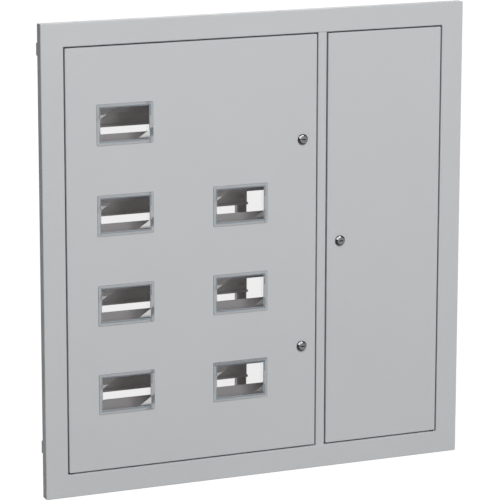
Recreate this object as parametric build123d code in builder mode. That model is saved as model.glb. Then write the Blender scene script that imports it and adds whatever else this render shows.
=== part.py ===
from build123d import *
import os

os.makedirs("parts", exist_ok=True)

# Flush-mounted floor enclosure for meters and switchgear.
# X runs to the right, Y into the wall, Z up. The origin is under the middle of the whole
# enclosure, at the height of the frame's bottom edge. Depths are counted from the frame's front.

# Sheet steel
SHEET = 1.5
BEND_R = 2.0
INNER_BEND_R = 0.5

# Play
SCREW_CLEARANCE = 0.1
AXIAL_PLAY = 0.2

# Face frame
FRAME_W = 960.0
FRAME_H = 1000.0
FRAME_BORDER = 49.0
FRAME_RETURN = 20.0
FRAME_CORNER_R = 2.5
STOP_LIP = 9.0
STOP_GAP = 2.5

# Mullion between the two doors
MULLION_W = 20.0
MULLION_X = 149.0
MULLION_RECESS = 1.0

# Box behind the frame
BOX_D = 150.0
WALL_SETBACK = 1.5
WALL_FLANGE = 18.0
PARTITION_START = 30.0
PARTITION_FLANGE = 15.0

# Cable cut-outs in the top and bottom walls
CABLE_CUT_D = 40.0
POWER_CUT_W = 300.0
SIGNAL_CUT_W = 160.0
CABLE_CUT_DEPTH = 115.0
CABLE_CUT_R = 8.0

# Straps across the open back
STRAP_T = 3.0
STRAP_H = 26.0
STRAP_LEG = 40.0
STRAP_INSET = 72.0
STRAP_BEND_R = 4.0
FIXING_HOLE_D = 9.0
FIXING_SPACING_X = 720.0

# Uprights and device rails
POST_W = 22.4
POST_D = 15.5
POST_LIP = 4.0
POST_X_LEFT = -400.0
POST_X_RIGHT = 22.2
RAIL_H = 35.0
RAIL_CHANNEL_H = 25.0
RAIL_D = 7.5
RAIL_T = 1.0
RAIL_OVERHANG = 10.8
RAIL_HOLE_L = 15.0
RAIL_HOLE_W = 6.2
RAIL_HOLE_INSET = 14.3
UPPER_RAIL_DROP = 10.6
LOWER_RAIL_DROP = 14.1

# Cover strips in front of the devices
COVER_DEPTH = 77.0
COVER_SLOT_H = 45.0
COVER_SLOT_DROP = 11.2
COVER_END_GAP = 0.5
STRIP_CORNER_R = 2.0
BRACKET_LEG = 25.0
BRACKET_FACE = 20.0
BRACKET_END_GAP = 4.0
COVER_SCREW_INSET = 25.0
COVER_SCREW_D = 4.0
COVER_SCREW_HEAD_D = 8.0
COVER_SCREW_HEAD_H = 2.4
COVER_SCREW_L = 8.0

# Mounting strips in the low-voltage bay
STRIP_H = 30.0
STRIP_FOLD = 12.0
STRIP_DEPTH = 140.0
STRIP_RAISE = 150.0
STRIP_HOLE_L = 12.0
STRIP_HOLE_W = 5.5
STRIP_HOLE_PITCH = 28.0
STRIP_HOLE_COUNT = 9

# Doors
DOOR_GAP = 3.0
DOOR_D = 16.0
DOOR_CORNER_R = 3.0
DOOR_LIP = 10.0
STIFFENER_W = 26.0
STIFFENER_D = 10.0
STIFFENER_FOOT = 9.0
STIFFENER_END_GAP = 1.5

# Hinge pins
HINGE_INSET = 6.0
HINGE_PIN_D = 5.0
HINGE_PIN_CLEARANCE = 0.1
HINGE_PIN_ENGAGEMENT = 7.0
HINGE_HEAD_D = 9.0
HINGE_HEAD_H = 2.0
HINGE_SEAT_GAP = 0.3

# Rubber buffers on the mullion
BUFFER_D = 5.0
BUFFER_GAP = 0.3
BUFFER_INSET_Z = 100.0

# Windows
WINDOW_COLUMN_1 = 129.4
WINDOW_PITCH_X = 259.0
WINDOW_ROW_1 = 162.1
WINDOW_PITCH_Z = 190.25
WINDOW_ROWS = 4
WINDOW_W = 125.0
WINDOW_H = 86.5
WINDOW_CORNER_R = 3.0
WINDOW_FLANGE_T = 2.0
WINDOW_EDGE_R = 0.8
APERTURE_W = 108.0
APERTURE_H = 70.0
BEVEL_W = 3.2
PANE_DEPTH = -0.8
PANE_T = 1.8
SPIGOT_WALL = 1.5
SPIGOT_D = 12.0
SPIGOT_CLEARANCE = 0.5
SPIGOT_CORNER_R = 1.0
TONGUE_H = 28.0
TONGUE_SLIT = 1.2
BARB = 1.4
BARB_L = 4.0
BARB_PLAY = 0.2

# Cam locks
LOCK_PROUD = 8.0
LOCK_BASE_D = 21.0
LOCK_FACE_D = 15.6
LOCK_BASE_H = 1.2
LOCK_EDGE_R = 0.6
LOCK_BARREL_D = 18.0
LOCK_FLATS = 16.0
LOCK_HOLE_CLEARANCE = 0.2
LOCK_NOSE_D = 11.4
LOCK_NOSE_L = 3.0
LOCK_PLUG_D = 13.2
LOCK_RUNNING = 0.08
LOCK_FACE_SET = 0.3
KEY_SLOT_L = 9.5
KEY_SLOT_W = 2.4
KEY_SLOT_D = 9.0
LOCK_NUT_AF = 22.0
LOCK_NUT_T = 4.0
CAM_GAP = 1.5
CAM_T = 3.0
CAM_W = 14.0
CAM_BITE = 2.0
CAM_SQUARE = 8.0
CAM_SCREW_D = 5.0
CAM_SCREW_HEAD_D = 10.0
CAM_SCREW_HEAD_H = 3.0
CAM_SCREW_L = 8.0
LOCK_LEFT_BACKSET = 33.3
LOCK_RIGHT_BACKSET = 29.7
LOCK_LEFT_SPACING = 450.0
LOCK_LEFT_RAISE = 1.0

# Earth studs
STUD_D = 6.0
STUD_L = 14.0
STUD_NUT_AF = 10.0
STUD_NUT_T = 5.0
STUD_FLANGE_D = 12.0
STUD_FLANGE_T = 1.6
STUD_INSET_X = 35.0
STUD_INSET_Z = 60.0
EARTH_STUD_INSET = 102.5
EARTH_STUD_DEPTH = 60.0

# Worked-out places
FRONT_Y = -(BOX_D + STRAP_T - LOCK_PROUD) / 2
MID_Z = FRAME_H / 2
OPENING_X = FRAME_W / 2 - FRAME_BORDER
OPENING_BOTTOM = FRAME_BORDER
OPENING_TOP = FRAME_H - FRAME_BORDER
STOP_DEPTH = DOOR_D + STOP_GAP
WALL_OUT = OPENING_X + 2 * SHEET
WALL_IN = OPENING_X + SHEET
FLOOR_IN = OPENING_BOTTOM - SHEET
CEILING_IN = OPENING_TOP + SHEET
FLANGE_DEPTH = BOX_D - SHEET
WALL_START = HINGE_INSET + HINGE_HEAD_D / 2 + WALL_SETBACK
LEFT_DOOR_X0 = -OPENING_X + DOOR_GAP
LEFT_DOOR_X1 = MULLION_X - MULLION_W / 2 - DOOR_GAP
RIGHT_DOOR_X0 = MULLION_X + MULLION_W / 2 + DOOR_GAP
RIGHT_DOOR_X1 = OPENING_X - DOOR_GAP
DOOR_BOTTOM = OPENING_BOTTOM + DOOR_GAP
DOOR_TOP = OPENING_TOP - DOOR_GAP
DOOR_H = DOOR_TOP - DOOR_BOTTOM
PARTITION_X0 = MULLION_X - SHEET / 2
PARTITION_X1 = MULLION_X + SHEET / 2
RAIL_DEPTH = BOX_D - POST_D - RAIL_D
CAM_DEPTH = STOP_DEPTH + SHEET + CAM_GAP
LEFT_LOCK_X = LEFT_DOOR_X1 - LOCK_LEFT_BACKSET
LEFT_LOCKS_Z = MID_Z + LOCK_LEFT_RAISE
RIGHT_LOCK_X = RIGHT_DOOR_X0 + LOCK_RIGHT_BACKSET
SPIGOT_W = APERTURE_W - 2 * SPIGOT_CLEARANCE
SPIGOT_H = APERTURE_H - 2 * SPIGOT_CLEARANCE
RAIL_X0 = POST_X_LEFT - RAIL_OVERHANG
RAIL_X1 = POST_X_RIGHT + RAIL_OVERHANG

window_columns = [LEFT_DOOR_X0 + WINDOW_COLUMN_1 + i * WINDOW_PITCH_X for i in range(2)]
window_rows = [DOOR_TOP - WINDOW_ROW_1 - i * WINDOW_PITCH_Z for i in range(WINDOW_ROWS)]
slot_rows = [z - COVER_SLOT_DROP for z in window_rows]

# The rails are welded up in two pairs, and the lower pair sits a little lower behind its slots.
rail_drops = [UPPER_RAIL_DROP if i < WINDOW_ROWS / 2 else LOWER_RAIL_DROP for i in range(WINDOW_ROWS)]
rail_rows = [z - drop for z, drop in zip(window_rows, rail_drops)]

# The right-hand column has no window in its top row, where the left-hand column has one.
windows = [(f"window_left_{i}", window_columns[0], z) for i, z in enumerate(window_rows, 1)]
windows += [(f"window_right_{i}", window_columns[1], z) for i, z in enumerate(window_rows, 1) if i > 1]

# Name, axis place, and the distance from the axis to the door's free edge.
locks = [
    ("lock_upper", LEFT_LOCK_X, LEFT_LOCKS_Z + LOCK_LEFT_SPACING / 2, LOCK_LEFT_BACKSET),
    ("lock_lower", LEFT_LOCK_X, LEFT_LOCKS_Z - LOCK_LEFT_SPACING / 2, LOCK_LEFT_BACKSET),
    ("lock_right", RIGHT_LOCK_X, MID_Z, LOCK_RIGHT_BACKSET),
]


def front(depth):
    """Plane parallel to the enclosure's front; it faces the viewer, at this depth."""
    return Plane.XZ.offset(-(FRONT_Y + depth))


def at(x, depth):
    """A point of a horizontal section."""
    return (x, FRONT_Y + depth)


def folded_sheet(points, radii, side, thickness=SHEET):
    """Section of a folded sheet: one surface of it as a line, thickened to one side."""
    with BuildSketch() as section:
        with BuildLine():
            FilletPolyline(*points, radius=radii)
            offset(amount=thickness, side=side)
        make_face()
    return section.sketch


# Face frame: one sheet folded round its outer edge and into the door opening, with a stop lip
with BuildPart() as face_frame:
    with BuildSketch(front(0)):
        with Locations((0, MID_Z)):
            RectangleRounded(FRAME_W, FRAME_H, FRAME_CORNER_R)
            Rectangle(2 * OPENING_X, OPENING_TOP - OPENING_BOTTOM, mode=Mode.SUBTRACT)
    extrude(amount=-FRAME_RETURN)
    with BuildSketch(front(SHEET)):
        with Locations((0, MID_Z)):
            Rectangle(FRAME_W - 2 * SHEET, FRAME_H - 2 * SHEET)
            Rectangle(2 * WALL_IN, CEILING_IN - FLOOR_IN, mode=Mode.SUBTRACT)
    extrude(amount=-FRAME_RETURN, mode=Mode.SUBTRACT)
    fillet(face_frame.edges().group_by(Axis.Y)[0], BEND_R)
    with BuildSketch(front(STOP_DEPTH)):
        with Locations((0, MID_Z)):
            Rectangle(2 * WALL_IN, CEILING_IN - FLOOR_IN)
            Rectangle(
                2 * (OPENING_X - STOP_LIP),
                OPENING_TOP - OPENING_BOTTOM - 2 * STOP_LIP,
                mode=Mode.SUBTRACT,
            )
    extrude(amount=-SHEET)
    with BuildSketch(Plane.XY.offset(FRAME_BORDER / 2)):
        with Locations(
            at(LEFT_DOOR_X0 + HINGE_INSET, HINGE_INSET),
            at(RIGHT_DOOR_X1 - HINGE_INSET, HINGE_INSET),
        ):
            Circle(HINGE_PIN_D / 2 + HINGE_PIN_CLEARANCE)
    extrude(amount=FRAME_H - FRAME_BORDER, mode=Mode.SUBTRACT)
face_frame.part.label = "face_frame"
export_step(face_frame.part, "parts/face_frame.step")

# Mullion: a hat-shaped upright between the doors, its lips stop the doors and hold the cams
with BuildPart() as mullion:
    with BuildSketch(Plane.XY.offset(OPENING_BOTTOM)):
        half = MULLION_W / 2
        add(folded_sheet(
            [
                at(MULLION_X - half - STOP_LIP, STOP_DEPTH),
                at(MULLION_X - half, STOP_DEPTH),
                at(MULLION_X - half, MULLION_RECESS),
                at(MULLION_X + half, MULLION_RECESS),
                at(MULLION_X + half, STOP_DEPTH),
                at(MULLION_X + half + STOP_LIP, STOP_DEPTH),
            ],
            [INNER_BEND_R, BEND_R, BEND_R, INNER_BEND_R],
            Side.LEFT,
        ))
    extrude(amount=OPENING_TOP - OPENING_BOTTOM)
    # Both ends are notched where the frame's own stop lip runs.
    with BuildSketch(front(STOP_DEPTH)):
        with Locations((MULLION_X, OPENING_BOTTOM), (MULLION_X, OPENING_TOP)):
            Rectangle(MULLION_W + 2 * STOP_LIP, 2 * STOP_LIP)
    extrude(amount=-SHEET, mode=Mode.SUBTRACT)
mullion.part.label = "mullion"
export_step(mullion.part, "parts/mullion.step")

# Side walls of the box, lapped over the frame's reveal, with a flange at the back
with BuildPart() as side_wall_left:
    with BuildSketch(Plane.XY.offset(FLOOR_IN - SHEET)):
        add(folded_sheet(
            [
                at(-WALL_OUT, WALL_START),
                at(-WALL_OUT, BOX_D),
                at(-WALL_OUT + WALL_FLANGE, BOX_D),
            ],
            [BEND_R],
            Side.RIGHT,
        ))
    extrude(amount=CEILING_IN - FLOOR_IN + 2 * SHEET)
    # The rear flange gives way to the top and bottom walls.
    with BuildSketch(front(BOX_D - 2 * BEND_R)):
        with Locations((0, FLOOR_IN - SHEET / 2), (0, CEILING_IN + SHEET / 2)):
            Rectangle(2 * WALL_IN, SHEET)
    extrude(amount=-2 * BEND_R, mode=Mode.SUBTRACT)
side_wall_left.part.label = "side_wall_left"
export_step(side_wall_left.part, "parts/side_wall_left.step")

with BuildPart() as side_wall_right:
    mirror(side_wall_left.part, about=Plane.YZ)
side_wall_right.part.label = "side_wall_right"
export_step(side_wall_right.part, "parts/side_wall_right.step")

# Top and bottom walls between the side walls, each cut out for the riser cables of both bays
with BuildPart() as top_wall:
    with BuildSketch(Plane.YZ.offset(-WALL_IN)):
        add(folded_sheet(
            [
                (FRONT_Y + WALL_START, CEILING_IN + SHEET),
                (FRONT_Y + BOX_D, CEILING_IN + SHEET),
                (FRONT_Y + BOX_D, CEILING_IN + SHEET - WALL_FLANGE),
            ],
            [BEND_R],
            Side.RIGHT,
        ))
    extrude(amount=2 * WALL_IN)
    with BuildSketch(front(BOX_D - 2 * BEND_R)):
        for side in (-1, 1):
            with Locations((side * WALL_OUT, CEILING_IN - WALL_FLANGE / 2)):
                Rectangle(2 * WALL_FLANGE, WALL_FLANGE)
    extrude(amount=-2 * BEND_R, mode=Mode.SUBTRACT)
    with BuildSketch(Plane.XY.offset(CEILING_IN)):
        with Locations(at((PARTITION_X0 - WALL_IN) / 2, CABLE_CUT_DEPTH)):
            RectangleRounded(POWER_CUT_W, CABLE_CUT_D, CABLE_CUT_R)
        with Locations(at((PARTITION_X1 + WALL_IN) / 2, CABLE_CUT_DEPTH)):
            RectangleRounded(SIGNAL_CUT_W, CABLE_CUT_D, CABLE_CUT_R)
    extrude(amount=SHEET, mode=Mode.SUBTRACT)
top_wall.part.label = "top_wall"
export_step(top_wall.part, "parts/top_wall.step")

with BuildPart() as bottom_wall:
    mirror(top_wall.part, about=Plane.XY.offset(MID_Z))
bottom_wall.part.label = "bottom_wall"
export_step(bottom_wall.part, "parts/bottom_wall.step")

# Partition between the power bay and the low-voltage bay, in line with the mullion
with BuildPart() as partition:
    with BuildSketch(front(PARTITION_START)):
        add(folded_sheet(
            [
                (PARTITION_X0 + PARTITION_FLANGE, CEILING_IN),
                (PARTITION_X0, CEILING_IN),
                (PARTITION_X0, FLOOR_IN),
                (PARTITION_X0 + PARTITION_FLANGE, FLOOR_IN),
            ],
            [BEND_R, BEND_R],
            Side.LEFT,
        ))
    extrude(amount=-(FLANGE_DEPTH - (BEND_R - SHEET) - PARTITION_START))
partition.part.label = "partition"
export_step(partition.part, "parts/partition.step")

# Straps across the open back, their ends folded round the side walls; they take the wall fixings
for name, z in (
    ("rear_strap_top", FRAME_H - STRAP_INSET),
    ("rear_strap_bottom", STRAP_INSET),
):
    with BuildPart() as rear_strap:
        with BuildSketch(Plane.XY.offset(z - STRAP_H / 2)):
            add(folded_sheet(
                [
                    at(-WALL_OUT - STRAP_T, BOX_D + STRAP_T - STRAP_LEG),
                    at(-WALL_OUT - STRAP_T, BOX_D + STRAP_T),
                    at(WALL_OUT + STRAP_T, BOX_D + STRAP_T),
                    at(WALL_OUT + STRAP_T, BOX_D + STRAP_T - STRAP_LEG),
                ],
                [STRAP_BEND_R, STRAP_BEND_R],
                Side.RIGHT,
                STRAP_T,
            ))
        extrude(amount=STRAP_H)
        with BuildSketch(front(BOX_D)):
            with Locations((-FIXING_SPACING_X / 2, z), (FIXING_SPACING_X / 2, z)):
                Circle(FIXING_HOLE_D / 2)
        extrude(amount=-STRAP_T, mode=Mode.SUBTRACT)
    rear_strap.part.label = name
    export_step(rear_strap.part, f"parts/{name}.step")

# Uprights: lipped channels, open to the front, welded to the straps
for name, x in (("post_left", POST_X_LEFT), ("post_right", POST_X_RIGHT)):
    with BuildPart() as post:
        with BuildSketch(Plane.XY.offset(FLOOR_IN + WALL_FLANGE)):
            half = POST_W / 2
            add(folded_sheet(
                [
                    at(x - half + POST_LIP, BOX_D - POST_D),
                    at(x - half, BOX_D - POST_D),
                    at(x - half, BOX_D),
                    at(x + half, BOX_D),
                    at(x + half, BOX_D - POST_D),
                    at(x + half - POST_LIP, BOX_D - POST_D),
                ],
                [BEND_R, BEND_R, BEND_R, BEND_R],
                Side.RIGHT,
            ))
        extrude(amount=CEILING_IN - FLOOR_IN - 2 * WALL_FLANGE)
    post.part.label = name
    export_step(post.part, f"parts/{name}.step")

# Device rails: top-hat section, one behind each row of windows, welded across the uprights
for i, z in enumerate(rail_rows):
    with BuildPart() as din_rail:
        with BuildSketch(Plane.YZ.offset(RAIL_X0)):
            y0 = FRONT_Y + RAIL_DEPTH
            y1 = y0 + RAIL_D - RAIL_T
            add(folded_sheet(
                [
                    (y0, z + RAIL_H / 2),
                    (y0, z + RAIL_CHANNEL_H / 2),
                    (y1, z + RAIL_CHANNEL_H / 2),
                    (y1, z - RAIL_CHANNEL_H / 2),
                    (y0, z - RAIL_CHANNEL_H / 2),
                    (y0, z - RAIL_H / 2),
                ],
                [RAIL_T + INNER_BEND_R, INNER_BEND_R, INNER_BEND_R, RAIL_T + INNER_BEND_R],
                Side.LEFT,
                RAIL_T,
            ))
        extrude(amount=RAIL_X1 - RAIL_X0)
        with BuildSketch(front(RAIL_DEPTH + RAIL_D - RAIL_T)):
            with Locations((RAIL_X0 + RAIL_HOLE_INSET, z), (RAIL_X1 - RAIL_HOLE_INSET, z)):
                SlotOverall(RAIL_HOLE_L, RAIL_HOLE_W)
        extrude(amount=-RAIL_T, mode=Mode.SUBTRACT)
    din_rail.part.label = f"din_rail_{i + 1}"
    export_step(din_rail.part, f"parts/din_rail_{i + 1}.step")

# Cover strips: they close the power bay above, between and below the device slots
strip_x0 = -WALL_IN + COVER_END_GAP
strip_x1 = PARTITION_X0 - COVER_END_GAP
strip_edges = [CEILING_IN - COVER_END_GAP]
for z in slot_rows:
    strip_edges += [z + COVER_SLOT_H / 2, z - COVER_SLOT_H / 2]
strip_edges += [FLOOR_IN + COVER_END_GAP]
screw_columns = (-WALL_IN + BRACKET_FACE / 2, PARTITION_X0 - BRACKET_FACE / 2)
cover_screw_places = []

for i in range(WINDOW_ROWS + 1):
    z1 = strip_edges[2 * i]
    z0 = strip_edges[2 * i + 1]
    holes = [(x, z) for x in screw_columns for z in (z0 + COVER_SCREW_INSET, z1 - COVER_SCREW_INSET)]
    cover_screw_places += holes
    with BuildPart() as cover_strip:
        with BuildSketch(front(COVER_DEPTH)):
            with Locations(((strip_x0 + strip_x1) / 2, (z0 + z1) / 2)):
                RectangleRounded(strip_x1 - strip_x0, z1 - z0, STRIP_CORNER_R)
            with Locations(*holes):
                Circle(COVER_SCREW_D / 2 + 2 * SCREW_CLEARANCE, mode=Mode.SUBTRACT)
        extrude(amount=-SHEET)
    cover_strip.part.label = f"cover_strip_{i + 1}"
    export_step(cover_strip.part, f"parts/cover_strip_{i + 1}.step")

# Brackets that carry the ends of the cover strips, on the left wall and on the partition
bracket_ends = [
    (
        "cover_bracket_left",
        [
            at(-WALL_IN, COVER_DEPTH + SHEET + BRACKET_LEG),
            at(-WALL_IN, COVER_DEPTH + SHEET),
            at(-WALL_IN + BRACKET_FACE, COVER_DEPTH + SHEET),
        ],
        Side.LEFT,
        screw_columns[0],
    ),
    (
        "cover_bracket_right",
        [
            at(PARTITION_X0, COVER_DEPTH + SHEET + BRACKET_LEG),
            at(PARTITION_X0, COVER_DEPTH + SHEET),
            at(PARTITION_X0 - BRACKET_FACE, COVER_DEPTH + SHEET),
        ],
        Side.RIGHT,
        screw_columns[1],
    ),
]
for name, points, side, screw_x in bracket_ends:
    with BuildPart() as cover_bracket:
        with BuildSketch(Plane.XY.offset(FLOOR_IN + BRACKET_END_GAP)):
            add(folded_sheet(points, [BEND_R], side))
        extrude(amount=CEILING_IN - FLOOR_IN - 2 * BRACKET_END_GAP)
        with BuildSketch(front(COVER_DEPTH + SHEET)):
            with Locations(*[(x, z) for x, z in cover_screw_places if x == screw_x]):
                Circle(COVER_SCREW_D / 2 + SCREW_CLEARANCE)
        extrude(amount=-SHEET, mode=Mode.SUBTRACT)
    cover_bracket.part.label = name
    export_step(cover_bracket.part, f"parts/{name}.step")

# Slotted screws that hold the cover strips, four to each strip
with BuildPart() as screw:
    with BuildSketch(front(COVER_DEPTH)):
        Circle(COVER_SCREW_HEAD_D / 2)
    extrude(amount=COVER_SCREW_HEAD_H)
    chamfer(screw.edges().group_by(Axis.Y)[0], COVER_SCREW_HEAD_H / 3)
    with BuildSketch(front(COVER_DEPTH)):
        Circle(COVER_SCREW_D / 2)
    extrude(amount=-COVER_SCREW_L)
    with BuildSketch(front(COVER_DEPTH - COVER_SCREW_HEAD_H)):
        Rectangle(COVER_SCREW_HEAD_D, COVER_SCREW_D / 4)
    extrude(amount=-COVER_SCREW_HEAD_H / 2, mode=Mode.SUBTRACT)

with BuildPart() as cover_screws:
    with Locations(*[(x, 0, z) for x, z in cover_screw_places]):
        add(screw.part)
cover_screws.part.label = "cover_screws"
export_step(cover_screws.part, "parts/cover_screws.step")

# Perforated strips across the low-voltage bay, folded forward at both ends
for name, z in (
    ("signal_strip_upper", MID_Z + STRIP_RAISE),
    ("signal_strip_lower", MID_Z - STRIP_RAISE),
):
    with BuildPart() as signal_strip:
        with BuildSketch(Plane.XY.offset(z - STRIP_H / 2)):
            add(folded_sheet(
                [
                    at(PARTITION_X1, STRIP_DEPTH - STRIP_FOLD),
                    at(PARTITION_X1, STRIP_DEPTH),
                    at(WALL_IN, STRIP_DEPTH),
                    at(WALL_IN, STRIP_DEPTH - STRIP_FOLD),
                ],
                [BEND_R, BEND_R],
                Side.RIGHT,
            ))
        extrude(amount=STRIP_H)
        with BuildSketch(front(STRIP_DEPTH - SHEET)):
            with Locations(((PARTITION_X1 + WALL_IN) / 2, z)):
                with GridLocations(STRIP_HOLE_PITCH, 1, STRIP_HOLE_COUNT, 1):
                    SlotOverall(STRIP_HOLE_L, STRIP_HOLE_W)
        extrude(amount=-SHEET, mode=Mode.SUBTRACT)
    signal_strip.part.label = name
    export_step(signal_strip.part, f"parts/{name}.step")

# Hinge pins: fixed in the frame's reveal, each door turns on a top pin and a bottom pin
hinge_columns = (
    ("left", LEFT_DOOR_X0 + HINGE_INSET),
    ("right", RIGHT_DOOR_X1 - HINGE_INSET),
)
for side, x in hinge_columns:
    with BuildPart() as pin_top:
        with BuildSketch(Plane.XY.offset(CEILING_IN)):
            with Locations(at(x, HINGE_INSET)):
                Circle(HINGE_HEAD_D / 2)
        extrude(amount=HINGE_HEAD_H)
        with BuildSketch(Plane.XY.offset(CEILING_IN)):
            with Locations(at(x, HINGE_INSET)):
                Circle(HINGE_PIN_D / 2)
        extrude(amount=-(CEILING_IN - DOOR_TOP + HINGE_PIN_ENGAGEMENT))
    pin_top.part.label = f"hinge_pin_{side}_top"
    export_step(pin_top.part, f"parts/hinge_pin_{side}_top.step")

    # The bottom pin has a collar, on which the door stands.
    with BuildPart() as pin_bottom:
        with BuildSketch(Plane.XY.offset(FLOOR_IN)):
            with Locations(at(x, HINGE_INSET)):
                Circle(HINGE_HEAD_D / 2)
        extrude(amount=-HINGE_HEAD_H)
        with BuildSketch(Plane.XY.offset(FLOOR_IN)):
            with Locations(at(x, HINGE_INSET)):
                Circle(HINGE_PIN_D / 2)
        extrude(amount=DOOR_BOTTOM - FLOOR_IN + HINGE_PIN_ENGAGEMENT)
        with BuildSketch(Plane.XY.offset(OPENING_BOTTOM)):
            with Locations(at(x, HINGE_INSET)):
                Circle(HINGE_HEAD_D / 2)
        extrude(amount=DOOR_GAP - HINGE_SEAT_GAP)
    pin_bottom.part.label = f"hinge_pin_{side}_bottom"
    export_step(pin_bottom.part, f"parts/hinge_pin_{side}_bottom.step")

# Rubber buffers glued on the mullion's lips, where the doors' rear lips close on them
left_buffer_x = (LEFT_DOOR_X1 + MULLION_X - MULLION_W / 2 - STOP_LIP) / 2
right_buffer_x = (RIGHT_DOOR_X0 + MULLION_X + MULLION_W / 2 + STOP_LIP) / 2
with BuildPart() as door_buffers:
    with BuildSketch(front(STOP_DEPTH)):
        for z in (OPENING_BOTTOM + BUFFER_INSET_Z, OPENING_TOP - BUFFER_INSET_Z):
            with Locations((left_buffer_x, z), (right_buffer_x, z)):
                Circle(BUFFER_D / 2)
    extrude(amount=STOP_GAP - BUFFER_GAP)
door_buffers.part.label = "door_buffers"
export_step(door_buffers.part, "parts/door_buffers.step")


def door_pan(x0, x1, hinge_x):
    """Folded door between x0 and x1: front sheet, four returns, rear lip and two hinge holes."""
    centre = ((x0 + x1) / 2, MID_Z)
    with BuildPart() as pan:
        with BuildSketch(front(0)):
            with Locations(centre):
                RectangleRounded(x1 - x0, DOOR_H, DOOR_CORNER_R)
        extrude(amount=-DOOR_D)
        fillet(pan.edges().group_by(Axis.Y)[0], BEND_R)
        with BuildSketch(front(SHEET)):
            with Locations(centre):
                RectangleRounded(x1 - x0 - 2 * SHEET, DOOR_H - 2 * SHEET, DOOR_CORNER_R - SHEET)
        extrude(amount=-(DOOR_D - 2 * SHEET), mode=Mode.SUBTRACT)
        with BuildSketch(front(DOOR_D - SHEET)):
            with Locations(centre):
                Rectangle(x1 - x0 - 2 * DOOR_LIP, DOOR_H - 2 * DOOR_LIP)
        extrude(amount=-SHEET, mode=Mode.SUBTRACT)
        with BuildSketch(Plane.XY):
            with Locations(at(hinge_x, HINGE_INSET)):
                Circle(HINGE_PIN_D / 2 + HINGE_PIN_CLEARANCE)
        extrude(amount=FRAME_H, mode=Mode.SUBTRACT)
    return pan.part


def double_d(diameter, flats):
    """Round hole or barrel section with two upright flats, which keep a lock from turning."""
    with BuildSketch() as section:
        Circle(diameter / 2)
        Rectangle(flats, diameter, mode=Mode.INTERSECT)
    return section.sketch


lock_hole = double_d(LOCK_BARREL_D + 2 * LOCK_HOLE_CLEARANCE, LOCK_FLATS + 2 * LOCK_HOLE_CLEARANCE)

# Left door: cut out for seven windows and two locks
with BuildPart() as left_door:
    add(door_pan(LEFT_DOOR_X0, LEFT_DOOR_X1, hinge_columns[0][1]))
    with BuildSketch(front(0)):
        with Locations(*[(x, z) for name, x, z in windows]):
            RectangleRounded(APERTURE_W, APERTURE_H, SPIGOT_CORNER_R)
        with Locations(*[(x, z) for name, x, z, backset in locks[:2]]):
            add(lock_hole)
    extrude(amount=-SHEET, mode=Mode.SUBTRACT)
left_door.part.label = "left_door"
export_step(left_door.part, "parts/left_door.step")

# Right door: plain, with one lock
with BuildPart() as right_door:
    add(door_pan(RIGHT_DOOR_X0, RIGHT_DOOR_X1, hinge_columns[1][1]))
    with BuildSketch(front(0)):
        with Locations(*[(x, z) for name, x, z, backset in locks[2:]]):
            add(lock_hole)
    extrude(amount=-SHEET, mode=Mode.SUBTRACT)
right_door.part.label = "right_door"
export_step(right_door.part, "parts/right_door.step")

# Hat-section stiffeners, spot-welded up the inside of each door
for name, x in (
    ("left_door_stiffener", sum(window_columns) / 2),
    ("right_door_stiffener", (RIGHT_DOOR_X0 + RIGHT_DOOR_X1) / 2),
):
    with BuildPart() as stiffener:
        with BuildSketch(Plane.XY.offset(DOOR_BOTTOM + SHEET + STIFFENER_END_GAP)):
            half = STIFFENER_W / 2
            add(folded_sheet(
                [
                    at(x - half - STIFFENER_FOOT, SHEET),
                    at(x - half, SHEET),
                    at(x - half, SHEET + STIFFENER_D),
                    at(x + half, SHEET + STIFFENER_D),
                    at(x + half, SHEET),
                    at(x + half + STIFFENER_FOOT, SHEET),
                ],
                [BEND_R, INNER_BEND_R, INNER_BEND_R, BEND_R],
                Side.LEFT,
            ))
        extrude(amount=DOOR_H - 2 * (SHEET + STIFFENER_END_GAP))
    stiffener.part.label = name
    export_step(stiffener.part, f"parts/{name}.step")

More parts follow.
